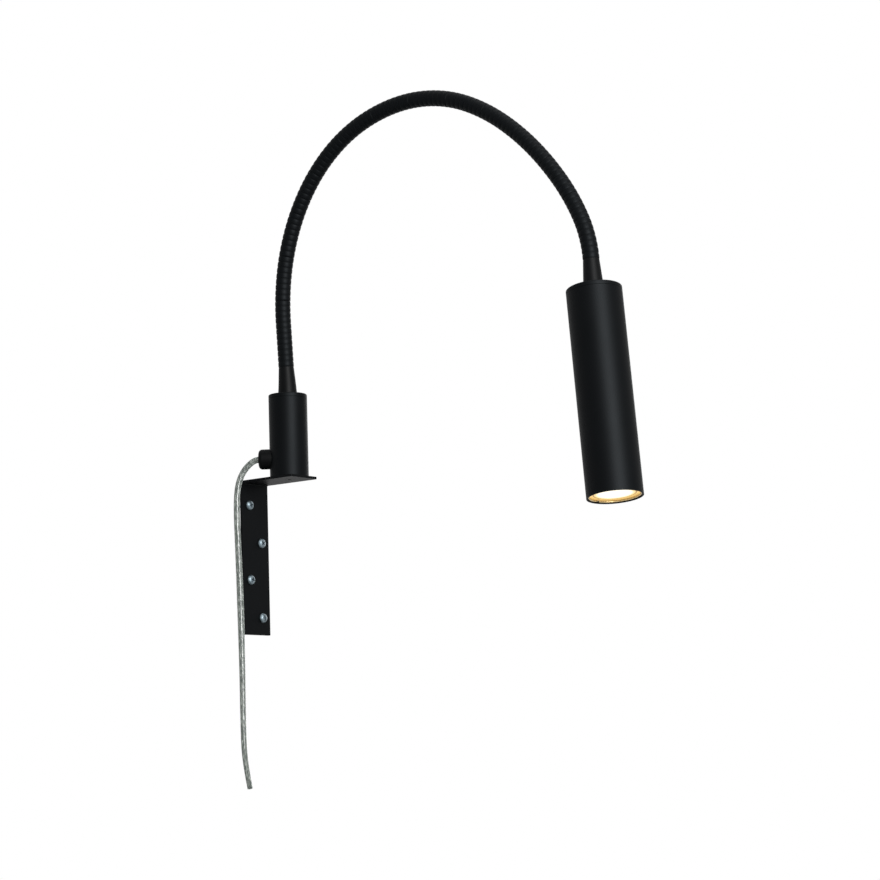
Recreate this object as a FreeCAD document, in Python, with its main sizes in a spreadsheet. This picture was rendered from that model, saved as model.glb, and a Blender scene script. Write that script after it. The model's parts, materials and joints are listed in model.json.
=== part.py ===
# Wall lamp with a flexible arm, for reading by a bed.
# A folded steel bracket holds an upright tube on its shelf. A ribbed flexible arm rises from the
# tube, arches out from the wall and carries a tubular head that points down.
# Millimetres. +Z is up, +Y points into the wall, and the lamp stands out to -Y.
# The origin is the centre of the four wall screws, on the plane of the wall.

import FreeCAD
import Part
import Sketcher

import math
import os
import re

# Driving sizes: name, value in millimetres, what it is
SIZES = [
    ("plate_width", 40.0, "width of the wall plate and of the shelf"),
    ("plate_thickness", 2.5, "thickness of the folded sheet"),
    ("plate_end", 17.8, "from the lowest wall screw down to the end of the wall plate"),
    ("plate_bend", 1.0, "inner radius of the fold"),
    ("plate_corner", 0.8, "radius of the sheet's corners"),
    ("shelf_depth", 71.5, "from the wall to the shelf's free end"),
    ("shelf_height", 81.0, "underside of the shelf above the centre of the wall screws"),
    ("screw_offset", 8.7, "wall screws beside the plate's middle line"),
    ("screw_pitch", 39.0, "from one wall screw down to the next"),
    ("screw_thread", 2.4, "radius of the thread in the wall"),
    ("screw_neck", 2.1, "radius of the plain neck in the plate"),
    ("screw_hole", 2.7, "radius of the holes in the plate"),
    ("screw_reach", 12.0, "length of thread behind the plate"),
    ("screw_point", 3.0, "length of the point"),
    ("screw_head", 5.0, "radius of the domed head"),
    ("screw_head_rim", 1.1, "height of the head's straight rim"),
    ("screw_head_height", 3.2, "height of the head"),
    ("screw_slot_width", 1.1, "width of the cross recess"),
    ("screw_slot_length", 5.2, "length of the cross recess"),
    ("screw_slot_depth", 1.9, "depth of the cross recess"),
    ("tube_axis", 51.5, "axis of the upright tube in front of the wall"),
    ("tube_radius", 20.0, "outside of the upright tube"),
    ("tube_wall", 1.5, "wall of the upright tube"),
    ("tube_length", 82.0, "length of the upright tube"),
    ("cap_rim", 4.3, "height of the rim of both end caps"),
    ("cap_seam", 0.35, "bevel of a cap's rim where it meets its tube"),
    ("cap_plate", 3.0, "thickness of both end caps at the top"),
    ("cap_edge", 1.1, "rounding of both end caps"),
    ("cap_spigot", 6.0, "depth of a cap's collar in its tube"),
    ("cap_collar", 1.5, "wall of a cap's collar"),
    ("foot_height", 9.0, "height of the foot in the upright tube"),
    ("foot_screw", 3.0, "radius of the countersunk screw that holds the foot"),
    ("foot_screw_head", 5.6, "radius of its head"),
    ("foot_screw_sink", 2.1, "depth of its countersink"),
    ("foot_screw_reach", 7.0, "length of its thread in the foot"),
    ("foot_screw_hex", 2.0, "half width across the flats of its socket"),
    ("fit_gap", 0.05, "clearance of pieces that fit tightly"),
    ("loose_gap", 0.3, "clearance of pieces that pass through freely"),
    ("nipple_radius", 5.0, "outside of the threaded hollow nipples"),
    ("nipple_bore", 3.5, "bore of the nipples"),
    ("nipple_in_cone", 9.0, "length of a nipple in its cone"),
    ("nut_flats", 7.0, "half width across the flats of the nipple's nut"),
    ("nut_height", 3.5, "height of the nipple's nut"),
    ("washer_radius", 8.5, "outside of the washer under the nut"),
    ("washer_height", 1.0, "thickness of that washer"),
    ("cone_foot", 9.9, "radius of a cone at its wide end"),
    ("cone_mouth", 7.9, "radius of a cone at its narrow end"),
    ("cone_length", 29.0, "length of a cone"),
    ("cone_edge", 0.5, "rounding of a cone's two ends"),
    ("cone_socket", 14.0, "depth of the arm's seat in a cone"),
    ("neck_crest", 8.1, "radius over the ribs of the arm"),
    ("neck_root", 7.6, "radius between the ribs"),
    ("neck_bore", 4.0, "bore of the arm"),
    ("neck_spigot", 6.6, "radius of the arm's plain ends"),
    ("neck_piece", 47.1, "length of one piece of the arm"),
    ("neck_gap", 0.96, "gap between two pieces of the arm"),
    ("neck_face", 4.6, "radius of the flat end of a piece of the arm"),
    ("neck_chamfer", 0.3, "slope of a piece's end beyond that flat"),
    ("head_radius", 26.75, "outside of the lamp head"),
    ("head_wall", 1.5, "wall of the lamp head"),
    ("head_length", 203.0, "length of the lamp head"),
    ("strap_width", 14.0, "width of the strap that carries the lampholder"),
    ("strap_thickness", 1.2, "thickness of the strap"),
    ("strap_span", 19.0, "from the head's axis to the outside of the strap's legs"),
    ("strap_foot", 8.0, "length of the strap's turned feet"),
    ("holder_length", 34.0, "length of the ceramic lampholder"),
    ("holder_width", 16.0, "width of the lampholder"),
    ("holder_height", 12.0, "height of the lampholder"),
    ("holder_screw", 1.5, "radius of the lampholder's screws"),
    ("holder_screw_head", 2.8, "radius of their heads"),
    ("holder_screw_rise", 2.0, "height of their heads"),
    ("holder_screw_reach", 7.0, "length of their threads"),
    ("lamp_length", 54.0, "length of the lamp without its pins"),
    ("lamp_radius", 24.0, "radius of the lamp's face"),
    ("lamp_rim", 6.0, "height of the lamp's straight rim"),
    ("lamp_base", 13.0, "radius of the lamp's base"),
    ("lamp_base_height", 15.0, "height of the lamp's base"),
    ("lamp_shell", 1.2, "wall of the lamp"),
    ("lamp_recess", 2.5, "face of the lamp above the head's mouth"),
    ("lens_radius", 22.0, "radius of the lamp's front lens"),
    ("lens_thickness", 2.0, "thickness of the front lens"),
    ("pin_radius", 2.4, "radius of the lamp's pins"),
    ("pin_length", 7.0, "length of the pins"),
    ("pin_spacing", 10.0, "distance between the pins"),
    ("spring_wire", 0.8, "radius of the wire of the retaining ring"),
    ("spring_ear", 2.2, "length of the retaining ring's turned end"),
    ("spring_knee", 2.0, "radius of the bend before that end"),
    ("spring_opening", 4.0, "opening of the retaining ring"),
    ("gland_height", 22.0, "axis of the cord gland above the underside of the shelf"),
    ("gland_stem", 6.0, "radius of the gland's threaded stem"),
    ("gland_collar", 10.4, "radius of the gland's collar"),
    ("gland_collar_end", 24.5, "from the tube's axis to the collar's outer face"),
    ("gland_mouth", 31.4, "from the tube's axis to the mouth of the gland's nut"),
    ("gland_dome", 3.8, "rounding of the gland's nut"),
    ("gland_bore", 3.3, "bore of the gland"),
    ("gland_seal", 5.4, "outside of the gland's seal"),
    ("gland_seal_length", 4.0, "length of the seal"),
    ("gland_nut_flats", 8.0, "half width across the flats of the gland's inner nut"),
    ("gland_nut_height", 3.5, "height of the gland's inner nut"),
    ("gland_inner_end", 10.0, "from the tube's axis to the stem's inner end"),
    ("cord_lead", 2.4, "straight stretch of the cord in front of the gland"),
    ("cord_radius", 3.2, "radius of the mains cord"),
    ("lead_radius", 1.1, "radius of one insulated lead"),
    ("lead_spread", 1.5, "from the axis to a lead in a nipple"),
    ("block_width", 18.0, "width of the terminal block"),
    ("block_depth", 12.0, "depth of the terminal block"),
    ("block_height", 16.0, "height of the terminal block"),
    ("block_rise", 34.0, "underside of the terminal block above the shelf"),
    ("block_pole", 4.2, "from the block's middle to one pole"),
    ("block_bore", 1.5, "radius of the block's wire holes"),
    ("block_screw", 1.6, "radius of the block's screws"),
    ("block_screw_depth", 3.4, "length of the block's screws"),
    ("overrun", 1.0, "how far every cutting shape runs past what it cuts"),
]

# The arm's rest shape: the turn of each piece in degrees, outwards from the wall
NECK_TURNS = [-0.3, 11.0, 12.9, 14.5, 16.3, 17.2, 13.9, 17.4, 16.8, 11.9, 9.2, 8.2, 9.2, 19.3]
# Bends to the side, in degrees, of the pieces counted from zero
NECK_SIDE_TURNS = {6: 3.5, 12: -3.8}
# How far the two soft cones lean with the arm, in degrees, each seen from its own cap
CONE_LEANS = {"lower": -2.9, "upper": 1.0}
# Joints of the arm that bend to the side; the rest bend in its upright plane
NECK_SIDE_JOINTS = (3, 6, 9, 12)
RIBS_PER_PIECE = 8
# Where a rib rises, reaches its crest, leaves it and ends, along its pitch
RIB_SHARES = (0.06, 0.30, 0.70, 0.94)
# How much of the shorter run an arc of a cord or lead takes
ARC_SHARE = 0.45
# How far the gland is turned from the wall, and the retaining ring in the head, in degrees
GLAND_TURN = 36.0
RING_TURN = 80.0
# The wall screws, and how far the first and each further one is turned, in degrees
SCREW_COUNT = 4
SCREW_TURN = 20
SCREW_TURN_STEP = 25

# Shares of the sizes that they follow
SCREW_DOME_SHARES = [(0, 1), (0.55, 0.93), (0.86, 0.7)]
SCREW_TIP_SHARE = 0.15
CONE_EDGE_SHARES = [(0, 1), (0.3, 0.3), (1, 0)]
CONE_RING_SHARES = (0.25, 0.5, 0.75)
BLOCK_SCREW_SHARES = (0.25, 0.75)
SUPPLY_SHARES = (-0.25, 0.125)
LEAD_SHARES = (0.875, 1.25)
GLAND_LEAD_SHARE = 0.33
FOOT_HOLE_SHARE = 0.6
WIRE_HOLE_SHARE = 0.7
PIN_NECK_SHARE = 0.6

# Route of the mains cord after the gland, chosen by hand
CORD_ROUTE = [
    (-23.8, -18.7, 99.4),
    (-28.6, -12.2, 90.2),
    (-31.9, -7.6, 75.5),
    (-32.9, -6.7, 50.0),
    (-31.9, -7.4, 8.0),
    (-29.9, -7.2, -50.0),
    (-29.6, -7.6, -115.0),
    (-29.3, -7.0, -172.0),
    (-28.7, -7.7, -206.0),
    (-22.0, -8.2, -233.5),
]

document = FreeCAD.newDocument("wall_lamp")
sheet = document.addObject("Spreadsheet::Sheet", "sizes")
for row, (alias, value, note) in enumerate(SIZES, start=1):
    sheet.set(f"A{row}", note)
    sheet.set(f"B{row}", str(value))
    sheet.setAlias(f"B{row}", alias)
document.recompute()

ALIASES = {alias for alias, value, note in SIZES}
SUBPARTS = []


def formula(text):
    """A sum of named sizes as the sheet's own expression."""
    def named(word):
        return f"sizes.{word.group()}" if word.group() in ALIASES else word.group()
    return re.sub(r"[a-z][a-z_]+", named, text)


def size(text):
    """The value of a sum of named sizes, in millimetres."""
    return float(sheet.evalExpression(formula(text)))


def bind(item, **links):
    """Binds properties of an object to sums of named sizes."""
    for name, text in links.items():
        item.setExpression(name, formula(text))
    return item


def keep(item, label, placement=None):
    """Lists an object as a sub-part under its label, at its place."""
    item.Label = label
    if placement is not None:
        item.Placement = placement
    SUBPARTS.append(item)
    return item


def moved(x, y, z):
    """A place given by three sums of named sizes."""
    return FreeCAD.Placement(FreeCAD.Vector(size(x), size(y), size(z)), FreeCAD.Rotation())


def turned(axis, degrees):
    """A turn about an axis through the origin."""
    return FreeCAD.Placement(FreeCAD.Vector(), FreeCAD.Rotation(axis, degrees))


ALONG_X = FreeCAD.Vector(1, 0, 0)
ALONG_Y = FreeCAD.Vector(0, 1, 0)
ALONG_Z = FreeCAD.Vector(0, 0, 1)


# Plain solids and cuts

def cylinder(name, radius, height, bottom=None):
    """A cylinder on the Z axis, from its bottom up, or one that is placed afterwards."""
    item = document.addObject("Part::Cylinder", name)
    bind(item, Radius=radius, Height=height)
    if bottom:
        item.setExpression(".Placement.Base.z", formula(bottom))
    return item


def cone(name, lower, upper, height, bottom):
    """A cone on the Z axis, from its lower radius up."""
    item = document.addObject("Part::Cone", name)
    bind(item, Radius1=lower, Radius2=upper, Height=height)
    item.setExpression(".Placement.Base.z", formula(bottom))
    return item


def box(name, width, depth, height, bottom, x="0", y="0"):
    """A box centred on x and y, from its bottom up."""
    item = document.addObject("Part::Box", name)
    bind(item, Length=width, Width=depth, Height=height)
    item.setExpression(".Placement.Base.x", formula(f"{x} - ({width}) / 2"))
    item.setExpression(".Placement.Base.y", formula(f"{y} - ({depth}) / 2"))
    item.setExpression(".Placement.Base.z", formula(bottom))
    return item


def hexagon(name, half_flats, height, bottom):
    """A six-sided prism on the Z axis, sized by half its width across the flats."""
    item = document.addObject("Part::Prism", name)
    item.Polygon = 6
    item.setExpression("Circumradius", f"({formula(half_flats)}) / cos(30)")
    bind(item, Height=height)
    item.setExpression(".Placement.Base.z", formula(bottom))
    return item


def cut(name, base, *tools):
    """The base without the tools."""
    for number, tool in enumerate(tools, start=1):
        result = document.addObject("Part::Cut", f"{name}_cut_{number}")
        result.Base = base
        result.Tool = tool
        base = result
    return base


def beside(item, x="0", y="0"):
    """Sets an upright solid's axis aside by two sums of named sizes."""
    item.setExpression(".Placement.Base.x", formula(x))
    item.setExpression(".Placement.Base.y", formula(y))
    return item


# Turned bodies

def origin_plane(body, role):
    """One of a body's own origin planes."""
    return next(item for item in body.Origin.OriginFeatures if item.Role == role)


def draw_outline(body, role, corners):
    """A closed outline through corners given as sums of named sizes."""
    sketch = body.newObject("Sketcher::SketchObject", f"{body.Name}_outline")
    sketch.AttachmentSupport = (origin_plane(body, role), [""])
    sketch.MapMode = "FlatFace"
    points = [FreeCAD.Vector(size(across), size(up), 0) for across, up in corners]
    for start, end in zip(points, points[1:] + points[:1]):
        sketch.addGeometry(Part.LineSegment(start, end), False)
    for index, (across, up) in enumerate(corners):
        following = (index + 1) % len(corners)
        sketch.addConstraint(Sketcher.Constraint("Coincident", index, 2, following, 1))
        for kind, value in (("DistanceX", points[index].x), ("DistanceY", points[index].y)):
            sketch.addConstraint(Sketcher.Constraint(kind, -1, 1, index, 1, value))
        count = sketch.ConstraintCount
        sketch.setExpression(f"Constraints[{count - 2}]", formula(across))
        sketch.setExpression(f"Constraints[{count - 1}]", formula(up))
    return sketch


def turned_body(name, corners):
    """A body turned about its Z axis from an outline of (radius, height) corners."""
    body = document.addObject("PartDesign::Body", f"{name}_body")
    sketch = draw_outline(body, "XZ_Plane", corners)
    turn = body.newObject("PartDesign::Revolution", f"{name}_turn")
    turn.Profile = sketch
    turn.ReferenceAxis = (sketch, ["V_Axis"])
    turn.Angle = 360
    body.Tip = turn
    document.recompute()
    return body


def round_named(body, radius, names):
    """Rounds the named edges of a body's last feature."""
    base = body.Tip
    fillet = body.newObject("PartDesign::Fillet", f"{base.Name}_rounded")
    fillet.Base = (base, names)
    bind(fillet, Radius=radius)
    body.Tip = fillet
    document.recompute()


def edges_where(body, wanted):
    """Names of the edges of a body's last feature for which wanted(edge) holds."""
    edges = enumerate(body.Tip.Shape.Edges, start=1)
    return [f"Edge{number}" for number, edge in edges if wanted(edge)]


def round_edges(body, radius, places):
    """Rounds the circular edges that lie at the given (radius, height) places."""
    spots = [(size(across), size(up)) for across, up in places]
    near = size("fit_gap") / 2

    def lies_there(edge):
        curve = edge.Curve
        if not isinstance(curve, Part.Circle):
            return False
        return any(
            abs(curve.Radius - across) < near and abs(curve.Center.z - up) < near
            for across, up in spots
        )

    round_named(body, radius, edges_where(body, lies_there))


# Wires and cords

def wire_path(points):
    """Straight runs joined by tangent arcs, each as large as its two runs allow, and the radii."""
    edges = []
    radii = []
    start = points[0]
    for before, corner, after in zip(points, points[1:], points[2:]):
        inward = (before - corner).normalize()
        outward = (after - corner).normalize()
        half_turn = (math.pi - inward.getAngle(outward)) / 2
        run = min((before - corner).Length, (after - corner).Length)
        radius = ARC_SHARE * run / math.tan(half_turn)
        tangent = ARC_SHARE * run
        first = corner + inward * tangent
        last = corner + outward * tangent
        to_middle = (inward + outward).normalize()
        reach = radius / math.cos(half_turn) - radius
        edges.append(Part.LineSegment(start, first).toShape())
        edges.append(Part.Arc(first, corner + to_middle * reach, last).toShape())
        radii.append(radius)
        start = last
    edges.append(Part.LineSegment(start, points[-1]).toShape())
    return Part.Wire(edges), radii


def wire_tube(points, radius):
    """A round tube along a path, its radii and the path's length."""
    path, radii = wire_path(points)
    section = Part.Wire(Part.makeCircle(radius, points[0], points[1] - points[0]))
    return path.makePipeShell([section], True, True), radii, path.Length


def solid_feature(name, shape, placement=None):
    """A sub-part whose shape this script works out from the named sizes."""
    item = document.addObject("Part::Feature", f"{name}_solid")
    item.Shape = shape
    frame = placement if placement is not None else FreeCAD.Placement()
    return keep(item, name, frame * shape.Placement)


def mirrored_pair(shape):
    """A shape and its turned twin on the other side of the Z axis."""
    twin = shape.copy()
    twin.rotate(FreeCAD.Vector(), ALONG_Z, 180)
    return Part.makeCompound([shape, twin])


# Frames of the groups
BASE_FRAME = moved("0", "-tube_axis", "shelf_height + plate_thickness")
GLAND_FRAME = (
    moved("0", "-tube_axis", "shelf_height + gland_height")
    * turned(ALONG_Z, GLAND_TURN)
    * turned(ALONG_X, -90)
)


# Bracket

def make_bracket():
    """The folded sheet: wall plate, fold and shelf, with its screw holes."""
    body = document.addObject("PartDesign::Body", "bracket_body")
    top = "shelf_height + plate_thickness"
    bottom = f"-{(SCREW_COUNT - 1) / 2} * screw_pitch - plate_end"
    corners = [
        ("0", bottom),
        ("plate_thickness", bottom),
        ("plate_thickness", "shelf_height"),
        ("shelf_depth", "shelf_height"),
        ("shelf_depth", top),
        ("0", top),
    ]
    section = draw_outline(body, "YZ_Plane", [(f"-({y})", z) for y, z in corners])
    pad = body.newObject("PartDesign::Pad", "bracket_sheet")
    pad.Profile = section
    pad.SideType = "Symmetric"
    bind(pad, Length="plate_width")
    body.Tip = pad
    document.recompute()

    near = size("fit_gap")

    def along_fold(edge, y, z):
        middle = edge.CenterOfMass
        full = abs(edge.Length - size("plate_width")) < near
        return full and abs(middle.y + size(y)) < near and abs(middle.z - size(z)) < near

    def at_corner(edge):
        middle = edge.CenterOfMass
        short = abs(edge.Length - size("plate_thickness")) < near
        at_free_end = abs(middle.y + size("shelf_depth")) < near
        at_foot = abs(middle.z - size(bottom)) < near
        return short and (at_free_end or at_foot)

    outer = "plate_bend + plate_thickness"
    for radius, y, z in ((outer, "0", top), ("plate_bend", "plate_thickness", "shelf_height")):
        round_named(body, radius, edges_where(body, lambda edge: along_fold(edge, y, z)))
    round_named(body, "plate_corner", edges_where(body, at_corner))

    tools = []
    for number, (x, z) in enumerate(screw_places()):
        tool = cylinder(f"bracket_hole_{number}", "screw_hole", "plate_thickness + 2 * overrun")
        tool.Placement = FreeCAD.Placement(
            FreeCAD.Vector(x, size("overrun"), z), FreeCAD.Rotation(ALONG_X, 90)
        )
        tools.append(tool)
    sunk = cone(
        "bracket_countersink",
        "foot_screw_head + loose_gap / 2",
        "foot_screw + loose_gap / 2",
        "foot_screw_sink",
        "shelf_height",
    )
    tools.append(beside(sunk, y="-tube_axis"))
    through = cylinder(
        "bracket_foot_hole",
        "foot_screw + loose_gap / 2",
        "plate_thickness + 2 * overrun",
        "shelf_height - overrun",
    )
    tools.append(beside(through, y="-tube_axis"))
    keep(cut("bracket", body, *tools), "wall_bracket")


def screw_places():
    """The four wall screws, in a zigzag from the top: (x, z) from the pattern's centre."""
    places = []
    for number in range(SCREW_COUNT):
        side = -1 if number % 2 == 0 else 1
        x = side * size("screw_offset")
        z = ((SCREW_COUNT - 1) / 2 - number) * size("screw_pitch")
        places.append((x, z))
    return places


def make_wall_screws():
    """Four domed cross-recess screws: head in front of the plate, thread behind it."""
    dome = [(f"screw_head * {out}", f"screw_head_height * {up}") for out, up in SCREW_DOME_SHARES]
    one = turned_body(
        "wall_screw",
        dome + [
            ("screw_head", "screw_head_rim"),
            ("screw_head", "0"),
            ("screw_neck", "0"),
            ("screw_neck", "-plate_thickness"),
            ("screw_thread", "-plate_thickness"),
            ("screw_thread", "screw_point - plate_thickness - screw_reach"),
            (f"screw_thread * {SCREW_TIP_SHARE}", "-plate_thickness - screw_reach"),
            ("0", "-plate_thickness - screw_reach"),
        ],
    )
    recess = "screw_head_height - screw_slot_depth"
    slot = "screw_slot_depth + overrun"
    across = box("screw_slot_across", "screw_slot_length", "screw_slot_width", slot, recess)
    along = box("screw_slot_along", "screw_slot_width", "screw_slot_length", slot, recess)
    recessed = cut("wall_screw", one, across, along)
    document.recompute()
    screws = []
    for number, (x, z) in enumerate(screw_places()):
        screw = recessed.Shape.copy()
        seat = FreeCAD.Placement(
            FreeCAD.Vector(x, -size("plate_thickness"), z), FreeCAD.Rotation(ALONG_X, 90)
        )
        screw.Placement = seat * turned(ALONG_Z, SCREW_TURN + SCREW_TURN_STEP * number)
        screws.append(screw)
    solid_feature("wall_screws", Part.makeCompound(screws))


# Upright tube

def make_base():
    """The upright tube with its foot, the foot's screw and the top cap."""
    outside = cylinder("tube_outside", "tube_radius", "tube_length")
    inside = cylinder(
        "tube_inside", "tube_radius - tube_wall", "tube_length + 2 * overrun", "-overrun"
    )
    gland_hole = cylinder("tube_gland_hole", "gland_stem + loose_gap", "tube_radius + overrun")
    gland_hole.Placement = BASE_FRAME.inverse() * GLAND_FRAME
    keep(cut("tube", outside, inside, gland_hole), "base_tube", BASE_FRAME)

    foot = cylinder("foot_disc", "tube_radius - tube_wall - fit_gap", "foot_height")
    thread = cylinder("foot_thread", "foot_screw + fit_gap", "foot_height + 2 * overrun", "-overrun")
    keep(cut("foot", foot, thread), "base_foot", BASE_FRAME)

    screw = turned_body(
        "foot_screw",
        [
            ("0", "-plate_thickness"),
            ("foot_screw_head", "-plate_thickness"),
            ("foot_screw", "foot_screw_sink - plate_thickness"),
            ("foot_screw", "foot_screw_reach"),
            ("0", "foot_screw_reach"),
        ],
    )
    socket = hexagon(
        "foot_screw_socket", "foot_screw_hex", "overrun + foot_screw_sink", "-plate_thickness - overrun"
    )
    keep(cut("foot_screw", screw, socket), "base_foot_screw", BASE_FRAME)
    make_cap("base_top_cap", "tube_radius", "tube_wall", BASE_FRAME * moved(
        "0", "0", "tube_length + cap_rim"
    ))


def make_cap(label, radius, wall, frame):
    """A turned end cap: rounded rim flush with its tube, bevelled at the seam, and a collar inside it."""
    collar = f"{radius} - {wall} - fit_gap"
    cap = turned_body(
        label,
        [
            ("nipple_radius + fit_gap", "0"),
            (radius, "0"),
            (radius, "cap_seam - cap_rim"),
            (f"{radius} - cap_seam", "-cap_rim"),
            (collar, "-cap_rim"),
            (collar, "-cap_rim - cap_spigot"),
            (f"{collar} - cap_collar", "-cap_rim - cap_spigot"),
            (f"{collar} - cap_collar", "-cap_plate"),
            ("nipple_radius + fit_gap", "-cap_plate"),
        ],
    )
    round_edges(cap, "cap_edge", [(radius, "0")])
    keep(cap, label, frame)


def cone_place(prefix, distance):
    """The frame at a distance up a cone, which leans below the arm's seat and is straight around it."""
    lower = size("cone_length - cone_socket")
    return bend_place(distance, lower, CONE_LEANS[prefix], 0)


def cone_shape(prefix):
    """A soft cone that leans with the arm, bored for the nipple and for the arm's plain end."""
    length = size("cone_length")
    edge = size("cone_edge")
    foot = size("cone_foot")
    mouth = size("cone_mouth")
    rings = [(foot - inwards * edge, up * edge) for up, inwards in CONE_EDGE_SHARES]
    rings += [(foot + share * (mouth - foot), share * length) for share in CONE_RING_SHARES]
    rings += [(mouth - inwards * edge, length - up * edge) for up, inwards in reversed(CONE_EDGE_SHARES)]
    body = Part.makeLoft([hoop(radius, cone_place(prefix, place)) for radius, place in rings], True, True)

    past = size("overrun")
    seat = size("cone_length - cone_socket")
    bore = Part.makeCylinder(size("nipple_radius + fit_gap"), seat + 2 * past, FreeCAD.Vector(0, 0, -past))
    socket = Part.makeCylinder(size("neck_spigot + fit_gap"), size("cone_socket") + past)
    socket.Placement = cone_place(prefix, seat)
    return body.cut(bore).cut(socket)


def make_cone_set(prefix, frame, below):
    """A cone that grips the arm's end, with its nipple, washer and nut, from the cap's face up."""
    solid_feature(f"{prefix}_cone", cone_shape(prefix), frame)

    end = f"cap_plate + {below} + washer_height + nut_height + overrun"
    outside = cylinder(f"{prefix}_nipple_outside", "nipple_radius", f"nipple_in_cone + {end}", f"-({end})")
    bore = cylinder(
        f"{prefix}_nipple_bore",
        "nipple_bore",
        f"nipple_in_cone + {end} + 2 * overrun",
        f"-({end}) - overrun",
    )
    keep(cut(f"{prefix}_nipple", outside, bore), f"{prefix}_nipple", frame)

    washer_bottom = f"-cap_plate - ({below}) - washer_height"
    ring = cylinder(f"{prefix}_washer_outside", "washer_radius", "washer_height", washer_bottom)
    hole = cylinder(
        f"{prefix}_washer_hole",
        "nipple_radius + fit_gap",
        "washer_height + 2 * overrun",
        f"{washer_bottom} - overrun",
    )
    keep(cut(f"{prefix}_washer", ring, hole), f"{prefix}_washer", frame)

    nut_bottom = f"{washer_bottom} - nut_height"
    body = hexagon(f"{prefix}_nut_body", "nut_flats", "nut_height", nut_bottom)
    thread = cylinder(
        f"{prefix}_nut_thread",
        "nipple_radius + fit_gap",
        "nut_height + 2 * overrun",
        f"{nut_bottom} - overrun",
    )
    keep(cut(f"{prefix}_nut", body, thread), f"{prefix}_locknut", frame)


# Cord gland, on its own axis through the side of the tube

def make_gland():
    """Gland body with its saddle, domed nut, seal and the nut inside the tube."""
    collar = turned_body(
        "gland_body",
        [
            ("gland_bore", "gland_inner_end"),
            ("gland_stem", "gland_inner_end"),
            ("gland_stem", "tube_radius - 2 * tube_wall"),
            ("gland_collar", "tube_radius - 2 * tube_wall"),
            ("gland_collar", "gland_collar_end"),
            ("gland_seal + overrun", "gland_collar_end"),
            ("gland_seal + overrun", "gland_mouth - gland_seal_length"),
            ("gland_bore", "gland_mouth - gland_seal_length"),
        ],
    )
    saddle_outside = cylinder(
        "gland_saddle_outside", "tube_radius + fit_gap", "4 * gland_collar", "-2 * gland_collar"
    )
    saddle_inside = cylinder(
        "gland_saddle_inside",
        "gland_stem",
        "tube_radius - gland_inner_end + 2 * overrun",
        "gland_inner_end - overrun",
    )
    document.recompute()
    upright = turned(ALONG_X, 90)
    around = saddle_outside.Shape.copy()
    around.Placement = upright * around.Placement
    cutter = document.addObject("Part::Feature", "gland_saddle")
    cutter.Shape = around.cut(saddle_inside.Shape)
    keep(cut("gland_body", collar, cutter), "gland_body", GLAND_FRAME)

    nut = turned_body(
        "gland_nut",
        [
            ("gland_seal + overrun + fit_gap", "gland_collar_end"),
            ("gland_collar", "gland_collar_end"),
            ("gland_collar", "gland_mouth"),
            ("cord_radius + loose_gap", "gland_mouth"),
            ("cord_radius + loose_gap", "gland_mouth - overrun"),
            ("gland_seal + fit_gap", "gland_mouth - overrun"),
            ("gland_seal + fit_gap", "gland_mouth - gland_seal_length"),
            ("gland_seal + overrun + fit_gap", "gland_mouth - gland_seal_length"),
        ],
    )
    round_edges(nut, "gland_dome", [("gland_collar", "gland_mouth")])
    keep(nut, "gland_nut", GLAND_FRAME)

    seal_length = "gland_seal_length - overrun - fit_gap"
    seal_start = "gland_mouth - gland_seal_length"
    outside = cylinder("gland_seal_outside", "gland_seal", seal_length, seal_start)
    bore = cylinder(
        "gland_seal_bore",
        "cord_radius - loose_gap",
        f"{seal_length} + 2 * overrun",
        f"{seal_start} - overrun",
    )
    keep(cut("gland_seal", outside, bore), "gland_seal", GLAND_FRAME)

    flats = "gland_nut_flats"
    nut_top = "gland_inner_end + overrun + gland_nut_height"
    inner = hexagon("gland_locknut_body", flats, "gland_nut_height", f"{nut_top} - gland_nut_height")
    thread = cylinder(
        "gland_locknut_thread",
        "gland_stem + fit_gap",
        "gland_nut_height + 2 * overrun",
        f"{nut_top} - gland_nut_height - overrun",
    )
    keep(cut("gland_locknut", inner, thread), "gland_locknut", GLAND_FRAME)


def make_cord():
    """The mains cord from the gland's seal down beside the wall plate to its cut end."""
    seat = GLAND_FRAME.multVec(FreeCAD.Vector(0, 0, size("gland_mouth - overrun - fit_gap")))
    out = GLAND_FRAME.multVec(FreeCAD.Vector(0, 0, size("gland_mouth + cord_lead")))
    points = [seat, out] + [FreeCAD.Vector(*place) for place in CORD_ROUTE]
    shape, radii, length = wire_tube(points, size("cord_radius"))
    volume = math.pi * size("cord_radius") ** 2 * length
    print("cord length", round(length, 1), "volume share", round(shape.Volume / volume, 4))
    print("cord points", [tuple(round(value, 2) for value in point) for point in points])
    print("cord radii", [round(radius, 1) for radius in radii])
    solid_feature("mains_cord", shape)


# Wiring inside the upright tube

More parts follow.
